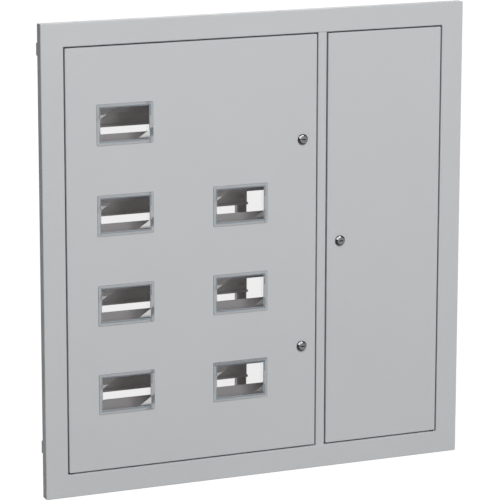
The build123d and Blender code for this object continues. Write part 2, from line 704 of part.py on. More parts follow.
# Window: one clear moulding with a flange, a bevelled recess, a pane and a spigot with snap tongues
with BuildPart() as window:
    with BuildSketch(front(0)):
        RectangleRounded(WINDOW_W, WINDOW_H, WINDOW_CORNER_R)
    extrude(amount=WINDOW_FLANGE_T)
    fillet(window.edges().group_by(Axis.Y)[0], WINDOW_EDGE_R)
    with BuildSketch(front(0)):
        RectangleRounded(SPIGOT_W, SPIGOT_H, SPIGOT_CORNER_R)
    extrude(amount=-SPIGOT_D)
    with BuildSketch(front(PANE_DEPTH + PANE_T)):
        Rectangle(SPIGOT_W - 2 * SPIGOT_WALL, SPIGOT_H - 2 * SPIGOT_WALL)
    extrude(amount=-SPIGOT_D, mode=Mode.SUBTRACT)
    with BuildSketch(front(-WINDOW_FLANGE_T)):
        Rectangle(APERTURE_W + 2 * BEVEL_W, APERTURE_H + 2 * BEVEL_W)
    with BuildSketch(front(PANE_DEPTH)):
        Rectangle(APERTURE_W, APERTURE_H)
    loft(mode=Mode.SUBTRACT)
    # Beside each tongue the recess has no bevel: its floor runs on level over the door.
    with BuildSketch(front(-WINDOW_FLANGE_T)):
        with GridLocations(APERTURE_W + BEVEL_W, 1, 2, 1):
            Rectangle(BEVEL_W, TONGUE_H)
    extrude(amount=-(WINDOW_FLANGE_T + PANE_DEPTH))
    with BuildSketch(front(PANE_DEPTH + PANE_T)):
        with GridLocations(SPIGOT_W - SPIGOT_WALL, TONGUE_H, 2, 2):
            Rectangle(2 * SPIGOT_WALL, TONGUE_SLIT)
    extrude(amount=-SPIGOT_D, mode=Mode.SUBTRACT)
    with BuildSketch(Plane.XY):
        with BuildLine():
            Polyline(
                at(SPIGOT_W / 2 - SPIGOT_WALL / 2, SHEET + BARB_PLAY),
                at(SPIGOT_W / 2 + BARB, SHEET + BARB_PLAY),
                at(SPIGOT_W / 2, SHEET + BARB_PLAY + BARB_L),
                at(SPIGOT_W / 2 - SPIGOT_WALL / 2, SHEET + BARB_PLAY + BARB_L),
                close=True,
            )
        make_face()
        mirror(about=Plane.YZ)
    extrude(amount=TONGUE_H / 2 - TONGUE_SLIT, both=True)

for name, x, z in windows:
    with BuildPart() as placed_window:
        with Locations((x, 0, z)):
            add(window.part)
    placed_window.part.label = name
    export_step(placed_window.part, f"parts/{name}.step")

# Cam lock: a tapered head and barrel, with a keyed plug that turns inside it
shoulder = -LOCK_PROUD + LOCK_NOSE_L
barrel_end = CAM_DEPTH - AXIAL_PLAY

with BuildPart() as housing:
    with BuildSketch(Plane.XY):
        with BuildLine():
            Polyline(
                at(LOCK_NOSE_D / 2 + LOCK_RUNNING, -LOCK_PROUD),
                at(LOCK_FACE_D / 2, -LOCK_PROUD),
                at(LOCK_BASE_D / 2, -LOCK_BASE_H),
                at(LOCK_BASE_D / 2, 0),
                at(LOCK_BARREL_D / 2, 0),
                at(LOCK_BARREL_D / 2, barrel_end),
                at(LOCK_PLUG_D / 2 + LOCK_RUNNING, barrel_end),
                at(LOCK_PLUG_D / 2 + LOCK_RUNNING, shoulder),
                at(LOCK_NOSE_D / 2 + LOCK_RUNNING, shoulder),
                close=True,
            )
        make_face()
    revolve(axis=Axis.Y)
    fillet(housing.edges().group_by(Axis.Y)[0].sort_by(SortBy.RADIUS)[-1], LOCK_EDGE_R)
    with BuildSketch(front(0)):
        Circle(LOCK_BARREL_D)
        add(double_d(LOCK_BARREL_D, LOCK_FLATS), mode=Mode.SUBTRACT)
    extrude(amount=-barrel_end, mode=Mode.SUBTRACT)

with BuildPart() as nut:
    with BuildSketch(front(SHEET)):
        RegularPolygon(LOCK_NUT_AF / 2, 6, major_radius=False)
        Circle(LOCK_BARREL_D / 2 + LOCK_HOLE_CLEARANCE, mode=Mode.SUBTRACT)
    extrude(amount=-LOCK_NUT_T)

with BuildPart() as plug:
    with BuildSketch(front(-LOCK_PROUD + LOCK_FACE_SET)):
        Circle(LOCK_NOSE_D / 2)
    extrude(amount=-(LOCK_NOSE_L + AXIAL_PLAY))
    with BuildSketch(front(shoulder + AXIAL_PLAY)):
        Circle(LOCK_PLUG_D / 2)
    extrude(amount=-(CAM_DEPTH - shoulder - AXIAL_PLAY))
    with BuildSketch(front(CAM_DEPTH)):
        Rectangle(CAM_SQUARE, CAM_SQUARE)
    extrude(amount=-(CAM_T - AXIAL_PLAY))
    with BuildSketch(front(-LOCK_PROUD)):
        Rectangle(KEY_SLOT_L, KEY_SLOT_W)
    extrude(amount=-KEY_SLOT_D, mode=Mode.SUBTRACT)
    with BuildSketch(front(CAM_DEPTH + CAM_T)):
        Circle(CAM_SCREW_D / 2 + SCREW_CLEARANCE)
    extrude(amount=CAM_SCREW_L + AXIAL_PLAY, mode=Mode.SUBTRACT)

with BuildPart() as cam_screw:
    with BuildSketch(front(CAM_DEPTH + CAM_T)):
        RegularPolygon(CAM_SCREW_HEAD_D / 2, 6, major_radius=False)
    extrude(amount=-CAM_SCREW_HEAD_H)
    with BuildSketch(front(CAM_DEPTH + CAM_T)):
        Circle(CAM_SCREW_D / 2)
    extrude(amount=CAM_SCREW_L)

cam_hole = CAM_SQUARE + 2 * SCREW_CLEARANCE
for name, x, z, backset in locks:
    # The cam hangs from the plug's square end; its tip reaches past the door's edge when turned.
    with BuildPart() as cam:
        with BuildSketch(front(CAM_DEPTH)):
            throw = backset + CAM_BITE - CAM_W / 2
            with Locations((0, -throw / 2)):
                SlotCenterToCenter(throw, CAM_W, rotation=90)
            Rectangle(cam_hole, cam_hole, mode=Mode.SUBTRACT)
        extrude(amount=-CAM_T)

    for piece_name, piece in (
        ("housing", housing),
        ("nut", nut),
        ("plug", plug),
        ("cam", cam),
        ("screw", cam_screw),
    ):
        with BuildPart() as placed_piece:
            with Locations((x, 0, z)):
                add(piece.part)
        placed_piece.part.label = f"{name}_{piece_name}"
        export_step(placed_piece.part, f"parts/{name}_{piece_name}.step")

# Earth stud: a welded stud with a flange nut, upright on the floor and one on each door
with BuildPart() as stud:
    with BuildSketch(Plane.XY):
        Circle(STUD_D / 2)
    extrude(amount=STUD_L)
    with BuildSketch(Plane.XY):
        Circle(STUD_FLANGE_D / 2)
        Circle(STUD_D / 2 + SCREW_CLEARANCE, mode=Mode.SUBTRACT)
    extrude(amount=STUD_FLANGE_T)
    with BuildSketch(Plane.XY.offset(STUD_FLANGE_T)):
        RegularPolygon(STUD_NUT_AF / 2, 6, major_radius=False)
        Circle(STUD_D / 2 + SCREW_CLEARANCE, mode=Mode.SUBTRACT)
    extrude(amount=STUD_NUT_T)

stud_z = DOOR_BOTTOM + STUD_INSET_Z
stud_places = (
    ("earth_stud", Location((EARTH_STUD_INSET - WALL_IN, FRONT_Y + EARTH_STUD_DEPTH, FLOOR_IN))),
    ("left_door_stud", Location((LEFT_DOOR_X0 + STUD_INSET_X, FRONT_Y + SHEET, stud_z), (-90, 0, 0))),
    ("right_door_stud", Location((RIGHT_DOOR_X1 - STUD_INSET_X, FRONT_Y + SHEET, stud_z), (-90, 0, 0))),
)
for name, place in stud_places:
    with BuildPart() as placed_stud:
        with Locations(place):
            add(stud.part)
    placed_stud.part.label = name
    export_step(placed_stud.part, f"parts/{name}.step")
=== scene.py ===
import math

import bpy
import numpy as np
from mathutils import Matrix, Vector


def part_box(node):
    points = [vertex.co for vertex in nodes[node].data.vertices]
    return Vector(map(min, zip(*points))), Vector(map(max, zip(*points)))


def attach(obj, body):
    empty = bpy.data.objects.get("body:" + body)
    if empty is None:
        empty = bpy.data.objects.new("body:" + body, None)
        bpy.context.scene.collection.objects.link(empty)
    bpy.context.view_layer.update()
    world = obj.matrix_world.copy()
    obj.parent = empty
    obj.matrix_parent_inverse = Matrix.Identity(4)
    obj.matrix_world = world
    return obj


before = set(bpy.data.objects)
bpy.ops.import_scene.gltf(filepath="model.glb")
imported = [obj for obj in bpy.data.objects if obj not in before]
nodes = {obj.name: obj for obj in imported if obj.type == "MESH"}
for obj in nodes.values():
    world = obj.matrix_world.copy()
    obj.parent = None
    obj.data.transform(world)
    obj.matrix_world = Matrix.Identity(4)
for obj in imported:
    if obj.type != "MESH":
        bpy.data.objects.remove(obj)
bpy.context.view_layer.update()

# Camera
# The photograph is taken with a long lens from the front left and a little above.
# The object is turned 23.5 degrees away and seen from 12 degrees up.
camera_data = bpy.data.cameras.new("photo_camera")
camera_data.lens = 206.54
camera_data.sensor_width = 36.0
camera_data.clip_end = 200.0
camera = bpy.data.objects.new("photo_camera", camera_data)
bpy.context.scene.collection.objects.link(camera)
camera_place = Vector((-2.3872, -5.5087, 1.7779))
look_right = Vector((0.91685, -0.39922, 0.00183)).normalized()
look_forward = Vector((0.39056, 0.89601, -0.21126)).normalized()
look_up = look_right.cross(look_forward).normalized()
look_right = look_forward.cross(look_up).normalized()
turn = Matrix((look_right, look_up, -look_forward)).transposed().to_4x4()
camera.matrix_world = Matrix.Translation(camera_place) @ turn
bpy.context.scene.camera = camera

# Floor and light
# A plain pale studio floor without an edge, square soft boxes high in front and one behind,
# two that only the lock heads reflect, and an even pale surrounding. The floor keeps the
# shadow of the object.
floor_half = 60.0
floor_corners = [(-floor_half, -floor_half, 0), (floor_half, -floor_half, 0)]
floor_corners += [(floor_half, floor_half, 0), (-floor_half, floor_half, 0)]
floor_mesh = bpy.data.meshes.new("studio_floor")
floor_mesh.from_pydata(floor_corners, [], [(0, 1, 2, 3)])
floor = bpy.data.objects.new("studio_floor", floor_mesh)
bpy.context.scene.collection.objects.link(floor)


def work_out(tree, operation, *values):
    """Math node of this operation; each value is a number or another node's output."""
    node = tree.nodes.new("ShaderNodeMath")
    node.operation = operation
    for place, value in zip(node.inputs, values):
        if isinstance(value, (int, float)):
            place.default_value = value
        else:
            tree.links.new(value, place)
    return node.outputs[0]


# Seen directly, mirrored or through a pane, the floor is nearly all white and keeps only a
# share of its shadow; to the light that bounces it is a plain grey.
floor_grey = 0.37
floor_glow = 1.1
white_share = 0.92
floor_paint = bpy.data.materials.new("studio_floor")
floor_paint.use_nodes = True
tree = floor_paint.node_tree
tree.nodes.clear()
floor_out = tree.nodes.new("ShaderNodeOutputMaterial")
floor_matt = tree.nodes.new("ShaderNodeBsdfDiffuse")
floor_matt.inputs["Color"].default_value = (floor_grey, floor_grey, floor_grey, 1)
floor_white = tree.nodes.new("ShaderNodeEmission")
floor_white.inputs["Strength"].default_value = floor_glow
rays = tree.nodes.new("ShaderNodeLightPath").outputs
seen = work_out(tree, "MAXIMUM", rays["Is Camera Ray"], rays["Is Glossy Ray"])
seen = work_out(tree, "MAXIMUM", seen, rays["Is Transmission Ray"])
floor_mix = tree.nodes.new("ShaderNodeMixShader")
tree.links.new(work_out(tree, "MULTIPLY", seen, white_share), floor_mix.inputs["Fac"])
tree.links.new(floor_matt.outputs[0], floor_mix.inputs[1])
tree.links.new(floor_white.outputs[0], floor_mix.inputs[2])
tree.links.new(floor_mix.outputs[0], floor_out.inputs["Surface"])
floor_mesh.materials.append(floor_paint)

world = bpy.data.worlds.new("studio")
bpy.context.scene.world = world
world.use_nodes = True
tree = world.node_tree
tree.nodes.clear()
world_out = tree.nodes.new("ShaderNodeOutputWorld")
world_fill = tree.nodes.new("ShaderNodeBackground")
world_fill.inputs["Color"].default_value = (0.96, 0.98, 1.0, 1)
world_fill.inputs["Strength"].default_value = 0.16
world_white = tree.nodes.new("ShaderNodeBackground")
world_white.inputs["Strength"].default_value = 1.0
rays = tree.nodes.new("ShaderNodeLightPath").outputs
seen = work_out(tree, "MAXIMUM", rays["Is Camera Ray"], rays["Is Transmission Ray"])
world_mix = tree.nodes.new("ShaderNodeMixShader")
tree.links.new(seen, world_mix.inputs["Fac"])
tree.links.new(world_fill.outputs[0], world_mix.inputs[1])
tree.links.new(world_white.outputs[0], world_mix.inputs[2])
tree.links.new(world_mix.outputs[0], world_out.inputs["Surface"])

lock_heads = bpy.data.collections.new("lock_heads")


def soft_box(name, place, aim, side, watts, for_locks=False):
    """Square soft box of the given side at a place, turned to face the aim point; one that is
    for the locks shows only as a reflection on their heads."""
    data = bpy.data.lights.new(name, "AREA")
    data.shape = "SQUARE"
    data.size = side
    data.energy = watts
    box = bpy.data.objects.new(name, data)
    bpy.context.scene.collection.objects.link(box)
    facing = (Vector(aim) - Vector(place)).to_track_quat("-Z", "Y")
    box.matrix_world = Matrix.Translation(Vector(place)) @ facing.to_matrix().to_4x4()
    box.visible_camera = False
    box.visible_diffuse = not for_locks
    if for_locks:
        box.light_linking.receiver_collection = lock_heads


box_middle = (0, 0, 0.5)
locks_middle = (0.1, -0.1, 0.7)
soft_box("soft_box_left", (-1.5, -7.1, 5.8), box_middle, 2.0, 304)
soft_box("soft_box_right", (0.9, -7.2, 5.8), box_middle, 2.0, 304)
soft_box("soft_box_low", (1.0, -6.4, 1.3), box_middle, 1.6, 58)
soft_box("soft_box_back", (2.6, 6.2, 4.6), box_middle, 2.4, 190)
soft_box("lock_glint_left", (-3.15, -1.35, 3.75), locks_middle, 4.4, 1090, for_locks=True)
soft_box("lock_glint_top", (0.75, -1.0, 5.2), locks_middle, 2.8, 620, for_locks=True)

bpy.context.scene.view_settings.view_transform = "Standard"

# Painted sheet steel
# Folded and welded steel sheet under light grey powder coat, baked to a fine orange peel with
# a slight mottle. The frame, both doors, the mullion and the whole box have the same paint.


def new_group(name, inputs, outputs):
    """Node group with float inputs (name, value) and outputs (name, socket type)."""
    group = bpy.data.node_groups.new(name, "ShaderNodeTree")
    for label, value in inputs:
        socket = group.interface.new_socket(label, in_out="INPUT", socket_type="NodeSocketFloat")
        socket.default_value = value
    for label, kind in outputs:
        group.interface.new_socket(label, in_out="OUTPUT", socket_type=kind)
    return group, group.nodes.new("NodeGroupInput"), group.nodes.new("NodeGroupOutput")


def surface_noise(tree, scale, detail, vector, stretch=None):
    """Noise on the object's own coordinates in metres, stretched along an axis if wanted; the
    scale is a number or another node's output."""
    noise = tree.nodes.new("ShaderNodeTexNoise")
    noise.inputs["Detail"].default_value = detail
    if isinstance(scale, float):
        noise.inputs["Scale"].default_value = scale
    else:
        tree.links.new(scale, noise.inputs["Scale"])
    if stretch:
        mapping = tree.nodes.new("ShaderNodeMapping")
        mapping.inputs["Scale"].default_value = stretch
        tree.links.new(vector, mapping.inputs["Vector"])
        vector = mapping.outputs["Vector"]
    tree.links.new(vector, noise.inputs["Vector"])
    return noise.outputs["Fac"]


def value_range(tree, value, low, high):
    """Maps a 0.3 to 0.7 noise value to the range low to high."""
    spread = tree.nodes.new("ShaderNodeMapRange")
    spread.inputs["From Min"].default_value = 0.3
    spread.inputs["From Max"].default_value = 0.7
    for label, end in (("To Min", low), ("To Max", high)):
        if isinstance(end, (int, float)):
            spread.inputs[label].default_value = end
        else:
            tree.links.new(end, spread.inputs[label])
    tree.links.new(value, spread.inputs["Value"])
    return spread.outputs["Result"]


surface_outputs = [
    ("Tone", "NodeSocketFloat"), ("Roughness", "NodeSocketFloat"), ("Height", "NodeSocketFloat"),
]
peel, peel_in, peel_out = new_group(
    "baked_coat_peel",
    [("Grain size", 420.0), ("Roughness low", 0.4), ("Roughness high", 0.5)],
    surface_outputs,
)
peel_place = peel.nodes.new("ShaderNodeTexCoord").outputs["Object"]
peel_relief = surface_noise(peel, peel_in.outputs["Grain size"], 2.0, peel_place)
peel.links.new(peel_relief, peel_out.inputs["Height"])
peel.links.new(surface_noise(peel, 5.0, 3.0, peel_place), peel_out.inputs["Tone"])
peel_rough = value_range(
    peel, surface_noise(peel, 28.0, 4.0, peel_place),
    peel_in.outputs["Roughness low"], peel_in.outputs["Roughness high"],
)
peel.links.new(peel_rough, peel_out.inputs["Roughness"])


def new_finish(name):
    """Material with a Principled shader on its output; returns material, tree and shader."""
    material = bpy.data.materials.new(name)
    material.use_nodes = True
    tree = material.node_tree
    return material, tree, tree.nodes["Principled BSDF"]


def two_tones(tree, factor, dark, light):
    """Blend from a dark to a light colour by a factor."""
    mix = tree.nodes.new("ShaderNodeMix")
    mix.data_type = "RGBA"
    mix.inputs["A"].default_value = (*dark, 1)
    mix.inputs["B"].default_value = (*light, 1)
    tree.links.new(factor, mix.inputs["Factor"])
    return mix.outputs["Result"]


def raise_surface(tree, shader, height, distance, strength):
    """Feeds a height through a Bump node into the shader's normal."""
    bump = tree.nodes.new("ShaderNodeBump")
    bump.inputs["Distance"].default_value = distance
    bump.inputs["Strength"].default_value = strength
    tree.links.new(height, bump.inputs["Height"])
    tree.links.new(bump.outputs["Normal"], shader.inputs["Normal"])


def coated_finish(name, group, grain_size, rough, tones, relief):
    """Material that takes its tone, roughness and relief from a shared group of nodes."""
    material, tree, shader = new_finish(name)
    coat = tree.nodes.new("ShaderNodeGroup")
    coat.node_tree = group
    coat.inputs["Grain size"].default_value = grain_size
    coat.inputs["Roughness low"].default_value = rough[0]
    coat.inputs["Roughness high"].default_value = rough[1]
    tree.links.new(two_tones(tree, coat.outputs["Tone"], *tones), shader.inputs["Base Color"])
    tree.links.new(coat.outputs["Roughness"], shader.inputs["Roughness"])
    raise_surface(tree, shader, coat.outputs["Height"], relief, 0.5)
    return material, shader


grey_paint, shader = coated_finish(
    "grey_powder_coat", peel, 420.0, (0.42, 0.52),
    ((0.488, 0.500, 0.510), (0.510, 0.520, 0.530)), 0.00012,
)
shader.inputs["Specular IOR Level"].default_value = 0.22


def finish_nodes(names, material):
    """Puts a material on every slot of the named nodes."""
    for name in names:
        for place in nodes[name].material_slots:
            place.material = material


painted = [
    "face_frame", "mullion", "side_wall_left", "side_wall_right", "top_wall", "bottom_wall",
    "partition", "left_door", "right_door", "left_door_stiffener", "right_door_stiffener",
    "rear_strap_top", "rear_strap_bottom", "cover_bracket_left", "cover_bracket_right",
]
finish_nodes(painted, grey_paint)

# Cover strips
# Plain sheet-steel strips with a thinner, darker and more neutral grey coat than the doors;
# four slotted screws hold each to the brackets.
strip_paint, shader = coated_finish(
    "dull_grey_coat", peel, 650.0, (0.50, 0.62),
    ((0.375, 0.368, 0.370), (0.405, 0.397, 0.400)), 0.00008,
)
shader.inputs["Specular IOR Level"].default_value = 0.22
finish_nodes([f"cover_strip_{i}" for i in range(1, 6)], strip_paint)

# Zinc-plated steel inside
# Uprights, device rails, mounting strips, studs, screws and the nuts and cams of the locks are
# zinc plate over rolled steel, dulled by passivation, with the roller's grain along X.
grain, grain_in, grain_out = new_group(
    "rolled_grain",
    [("Grain size", 900.0), ("Roughness low", 0.3), ("Roughness high", 0.45)],
    surface_outputs,
)
grain_place = grain.nodes.new("ShaderNodeTexCoord").outputs["Object"]
grain_relief = surface_noise(grain, grain_in.outputs["Grain size"], 2.0, grain_place, (0.02, 1.0, 1.0))
grain.links.new(grain_relief, grain_out.inputs["Height"])
grain.links.new(surface_noise(grain, 45.0, 3.0, grain_place), grain_out.inputs["Tone"])
grain_rough = value_range(
    grain, surface_noise(grain, 160.0, 3.0, grain_place, (0.2, 1.0, 1.0)),
    grain_in.outputs["Roughness low"], grain_in.outputs["Roughness high"],
)
grain.links.new(grain_rough, grain_out.inputs["Roughness"])

zinc, shader = coated_finish(
    "zinc_plate", grain, 900.0, (0.40, 0.55),
    ((0.335, 0.330, 0.325), (0.425, 0.420, 0.415)), 0.00003,
)
shader.inputs["Metallic"].default_value = 0.65

lock_names = ("upper", "lower", "right")
plated = ["post_left", "post_right", "cover_screws", "signal_strip_upper", "signal_strip_lower"]
plated += ["earth_stud", "left_door_stud", "right_door_stud"]
plated += [f"din_rail_{i}" for i in range(1, 5)]
plated += [f"lock_{where}_{what}" for where in lock_names for what in ("nut", "cam", "screw")]
finish_nodes(plated, zinc)

# Hinge pins
# Turned steel pins, phosphated and oiled against rust, so they stay dark in the gaps beside
# the doors; the phosphate leaves a fine matt crystal on them.
phosphate, tree, shader = new_finish("phosphated_steel")
pin_place = tree.nodes.new("ShaderNodeTexCoord").outputs["Object"]
crystal = surface_noise(tree, 350.0, 3.0, pin_place)
pin_tone = two_tones(tree, crystal, (0.030, 0.030, 0.031), (0.065, 0.064, 0.063))
tree.links.new(pin_tone, shader.inputs["Base Color"])
shader.inputs["Roughness"].default_value = 0.5
shader.inputs["Metallic"].default_value = 0.6
raise_surface(tree, shader, surface_noise(tree, 2500.0, 2.0, pin_place), 0.00003, 0.4)
pins = [f"hinge_pin_{side}_{end}" for side in ("left", "right") for end in ("top", "bottom")]
finish_nodes(pins, phosphate)

# Rubber buffers
# Four black rubber buttons glued on the mullion's lips, slightly dusty from the mould.
rubber, tree, shader = new_finish("black_rubber")
rubber_place = tree.nodes.new("ShaderNodeTexCoord").outputs["Object"]
dust = surface_noise(tree, 400.0, 3.0, rubber_place)
rubber_tone = two_tones(tree, dust, (0.012, 0.012, 0.013), (0.035, 0.035, 0.036))
tree.links.new(rubber_tone, shader.inputs["Base Color"])
shader.inputs["Roughness"].default_value = 0.85
raise_surface(tree, shader, surface_noise(tree, 1500.0, 2.0, rubber_place), 0.0001, 0.4)
finish_nodes(["door_buffers"], rubber)

# Windows
# Each window is one clear moulding: a flat flange on the door, a bevelled recess and the pane.
# Painted reflections lighten the pane's upper left and lower right corners. The door's grey shows
# through the flange, and the rails and cover strips through the pane.
front_y = float(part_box("mullion")[0][1]) - 0.001
first_low, first_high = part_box("window_left_1")
column_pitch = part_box("window_right_2")[0][0] - first_low[0]
row_pitch = first_low[2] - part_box("window_left_2")[0][2]
first_x = (first_low[0] + first_high[0]) / 2
first_z = (first_low[2] + first_high[2]) / 2

clear, tree, shader = new_finish("clear_plastic")
clear_place = tree.nodes.new("ShaderNodeTexCoord").outputs["Object"]
split = tree.nodes.new("ShaderNodeSeparateXYZ")
tree.links.new(clear_place, split.inputs[0])


def ramp(tree, value, start, end, low=0.0, high=1.0):
    """Low below the start value, high above the end value, and a straight line between."""
    step = tree.nodes.new("ShaderNodeMapRange")
    step.inputs["From Min"].default_value = start
    step.inputs["From Max"].default_value = end
    step.inputs["To Min"].default_value = low
    step.inputs["To Max"].default_value = high
    tree.links.new(value, step.inputs["Value"])
    return step.outputs["Result"]


def own_centre(tree, value, first, pitch):
    """Distance from the middle of the nearest window in a row of windows with this pitch."""
    moved = work_out(tree, "SUBTRACT", value, first - pitch / 2)
    return work_out(tree, "SUBTRACT", work_out(tree, "WRAP", moved, pitch, 0.0), pitch / 2)


def blend_of(tree, factor, one, other):
    """Mix of two colours, each a triple or another node's output, by a factor."""
    mix = tree.nodes.new("ShaderNodeMix")
    mix.data_type = "RGBA"
    tree.links.new(factor, mix.inputs["Factor"])
    for label, value in (("A", one), ("B", other)):
        if isinstance(value, tuple):
            mix.inputs[label].default_value = (*value, 1)
        else:
            tree.links.new(value, mix.inputs[label])
    return mix.outputs["Result"]


# The flange's face lies 2 mm in front of the door's face and the pane's 0.8 mm, with the bevel
# between them.
flange_end = front_y - 0.0019
pane_start = front_y - 0.0009
edge = 0.00005
past_flange = ramp(tree, split.outputs["Y"], flange_end - edge, flange_end + edge)
at_pane = ramp(tree, split.outputs["Y"], pane_start - edge, pane_start + edge)

# The painted reflections in the corners end at two parallel sloping lines, which cross the pane's
# lower right and upper left, and fade out up and down the pane. The low one is faint in the right
# column.
corner_slope = 0.656
low_line = 0.0511
high_line = -0.0481
line_blur = 0.0003
beside = own_centre(tree, split.outputs["X"], first_x, column_pitch)
above = own_centre(tree, split.outputs["Z"], first_z, row_pitch)
across = work_out(tree, "SUBTRACT", work_out(tree, "MULTIPLY", beside, corner_slope), above)
low_corner = ramp(tree, across, low_line - line_blur, low_line + line_blur)
high_corner = ramp(tree, across, high_line + line_blur, high_line - line_blur)
column_start = first_x + column_pitch * 0.4
column_end = first_x + column_pitch * 0.6
left_column = ramp(tree, split.outputs["X"], column_start, column_end, 1.0, 0.16)
low_fade = ramp(tree, above, -0.0335, -0.027, 0.0, 0.62)
high_fade = ramp(tree, above, 0.0200, 0.0216, 0.24, 0.035)
# Painted reflection in the pane's lower right and upper left corners.
low_painted_reflection = work_out(tree, "MULTIPLY", work_out(tree, "MULTIPLY", low_corner, low_fade), left_column)
high_painted_reflection = work_out(tree, "MULTIPLY", high_corner, high_fade)
painted_corner_reflection = work_out(tree, "MULTIPLY", at_pane, work_out(tree, "ADD", low_painted_reflection, high_painted_reflection))

# The bevel's dark blue-grey is a painted reflection of the surroundings in its slope; the pane's pale
# warm grey is the plastic's tint together with a painted haze of reflection over the dark inside.
flange_or_bevel = blend_of(tree, past_flange, (0.355, 0.368, 0.380), (0.165, 0.215, 0.255))
or_pane = blend_of(tree, at_pane, flange_or_bevel, (0.200, 0.176, 0.176))
# The corners are painted pale grey as reflected light.
painted_reflection_share = work_out(tree, "MINIMUM", work_out(tree, "MULTIPLY", painted_corner_reflection, 6.0), 1.0)
or_painted_reflection = blend_of(tree, painted_reflection_share, or_pane, (0.70, 0.70, 0.70))
tree.links.new(or_painted_reflection, shader.inputs["Base Color"])

flange_alpha = 0.25
bevel_alpha = 0.80
pane_alpha = 0.225
alpha = ramp(tree, past_flange, 0.0, 1.0, flange_alpha, bevel_alpha)
with_pane = tree.nodes.new("ShaderNodeMix")
with_pane.data_type = "FLOAT"
with_pane.inputs["B"].default_value = pane_alpha
tree.links.new(at_pane, with_pane.inputs["Factor"])
tree.links.new(alpha, with_pane.inputs["A"])
# The painted corner reflection also makes the pane less clear there.
alpha = work_out(tree, "ADD", with_pane.outputs["Result"], painted_corner_reflection)
inner_side = tree.nodes.new("ShaderNodeNewGeometry")
front_only = work_out(tree, "SUBTRACT", 1.0, inner_side.outputs["Backfacing"])
behind_pane = ramp(tree, split.outputs["Y"], front_y + 0.0012, front_y + 0.0015, 1.0, 0.3)
alpha = work_out(tree, "MULTIPLY", alpha, behind_pane)
tree.links.new(work_out(tree, "MULTIPLY", alpha, front_only), shader.inputs["Alpha"])
tree.links.new(ramp(tree, at_pane, 0.0, 1.0, 0.22, 0.05), shader.inputs["Roughness"])
shader.inputs["IOR"].default_value = 1.5
windows = [f"window_left_{i}" for i in range(1, 5)] + [f"window_right_{i}" for i in range(2, 5)]
finish_nodes(windows, clear)

# Cam locks
# Each lock is a die-cast housing with a domed, polished chrome head whose near-black colour is a
# painted reflection of dark surroundings. The flat face is turned bright and keeps the level lines
# of its tool, as the plug does round the dark key slot.
chrome, tree, shader = new_finish("chrome_with_painted_dark_reflection")
chrome_place = tree.nodes.new("ShaderNodeTexCoord").outputs["Object"]
lines = surface_noise(tree, 2600.0, 1.0, chrome_place, (0.02, 0.02, 1.0))
head_split = tree.nodes.new("ShaderNodeSeparateXYZ")
tree.links.new(chrome_place, head_split.inputs[0])
on_face = ramp(tree, head_split.outputs["Y"], front_y - 0.0079, front_y - 0.0077, 1.0, 0.0)
cloud = surface_noise(tree, 700.0, 2.0, chrome_place)
# The head's near-black, with a random cloud in it, is a painted dark reflection.
dark_reflection_tone = two_tones(tree, cloud, (0.032, 0.032, 0.034), (0.052, 0.052, 0.055))
face_tone = two_tones(tree, lines, (0.13, 0.13, 0.13), (0.24, 0.24, 0.24))
tree.links.new(blend_of(tree, on_face, dark_reflection_tone, face_tone), shader.inputs["Base Color"])
face_rough = value_range(tree, lines, 0.26, 0.40)
polish_rough = value_range(tree, surface_noise(tree, 900.0, 2.0, chrome_place), 0.05, 0.10)
either_rough = tree.nodes.new("ShaderNodeMix")
either_rough.data_type = "FLOAT"
tree.links.new(on_face, either_rough.inputs["Factor"])
tree.links.new(polish_rough, either_rough.inputs["A"])
tree.links.new(face_rough, either_rough.inputs["B"])
tree.links.new(either_rough.outputs["Result"], shader.inputs["Roughness"])
shader.inputs["Metallic"].default_value = 1.0
raise_surface(tree, shader, work_out(tree, "MULTIPLY", lines, on_face), 0.00002, 0.4)
finish_nodes([f"lock_{where}_housing" for where in lock_names], chrome)


def add_piece(piece, material, body):
    """Gives a new piece its material, its body and the slot it takes its finish from."""
    piece.data.materials.append(material)
    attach(piece, body)


def lathe(name, centre, profile, steps=72):
    """Ring turned about the Y axis through the centre: a point is the profile's radius at an
    angle, and the profile's depth; the closed profile runs clockwise with the radius to the right."""
    profile = np.array(profile, float)
    count = len(profile)
    angle = np.linspace(0, 2 * math.pi, steps, endpoint=False)[:, None]
    points = np.stack(
        [
            centre[0] + profile[:, 0] * np.cos(angle),
            centre[1] + profile[:, 1] + 0 * angle,
            centre[2] + profile[:, 0] * np.sin(angle),
        ],
        axis=-1,
    ).reshape(-1, 3)
    i, j = np.meshgrid(np.arange(steps), np.arange(count), indexing="ij")
    next_i, next_j = (i + 1) % steps, (j + 1) % count
    faces = np.stack(
        [i * count + j, next_i * count + j, next_i * count + next_j, i * count + next_j], axis=-1,
    ).reshape(-1, 4)
    mesh = bpy.data.meshes.new(name)
    mesh.from_pydata(points.tolist(), [], faces.tolist())
    mesh.shade_smooth()
    ring = bpy.data.objects.new(name, mesh)
    bpy.context.scene.collection.objects.link(ring)
    return ring


# The head is cast with a short upright rim and a broad rounded chamfer up to the flat face;
# this shell lies on the plain cone of the housing. A point is its radius and its depth.
chamfer_foot = np.array([0.01090, -0.0041])
chamfer_top = np.array([0.00785, -0.00798])
chamfer_outward = np.array([0.787, -0.617])
chamfer_bulge = 0.00016
along = np.linspace(0, 1, 15)[:, None]
chamfer = (1 - along) * chamfer_foot + along * chamfer_top
chamfer = chamfer + chamfer_bulge * 4 * along * (1 - along) * chamfer_outward
rim = np.array([[0.01055, -0.0006], [0.01085, -0.0020], [0.01100, -0.0036]])
inner = np.array([[0.0072, -0.0074], [0.0100, -0.0006]])
head_profile = np.concatenate([rim, chamfer, inner])
lock_doors = (("upper", "left_door"), ("lower", "left_door"), ("right", "right_door"))
for where, body in lock_doors:
    low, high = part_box(f"lock_{where}_plug")
    axis_place = ((low[0] + high[0]) / 2, front_y, (low[2] + high[2]) / 2)
    shell = lathe(f"lock_{where}_head", axis_place, head_profile)
    lock_heads.objects.link(shell)
    add_piece(shell, chrome, body)

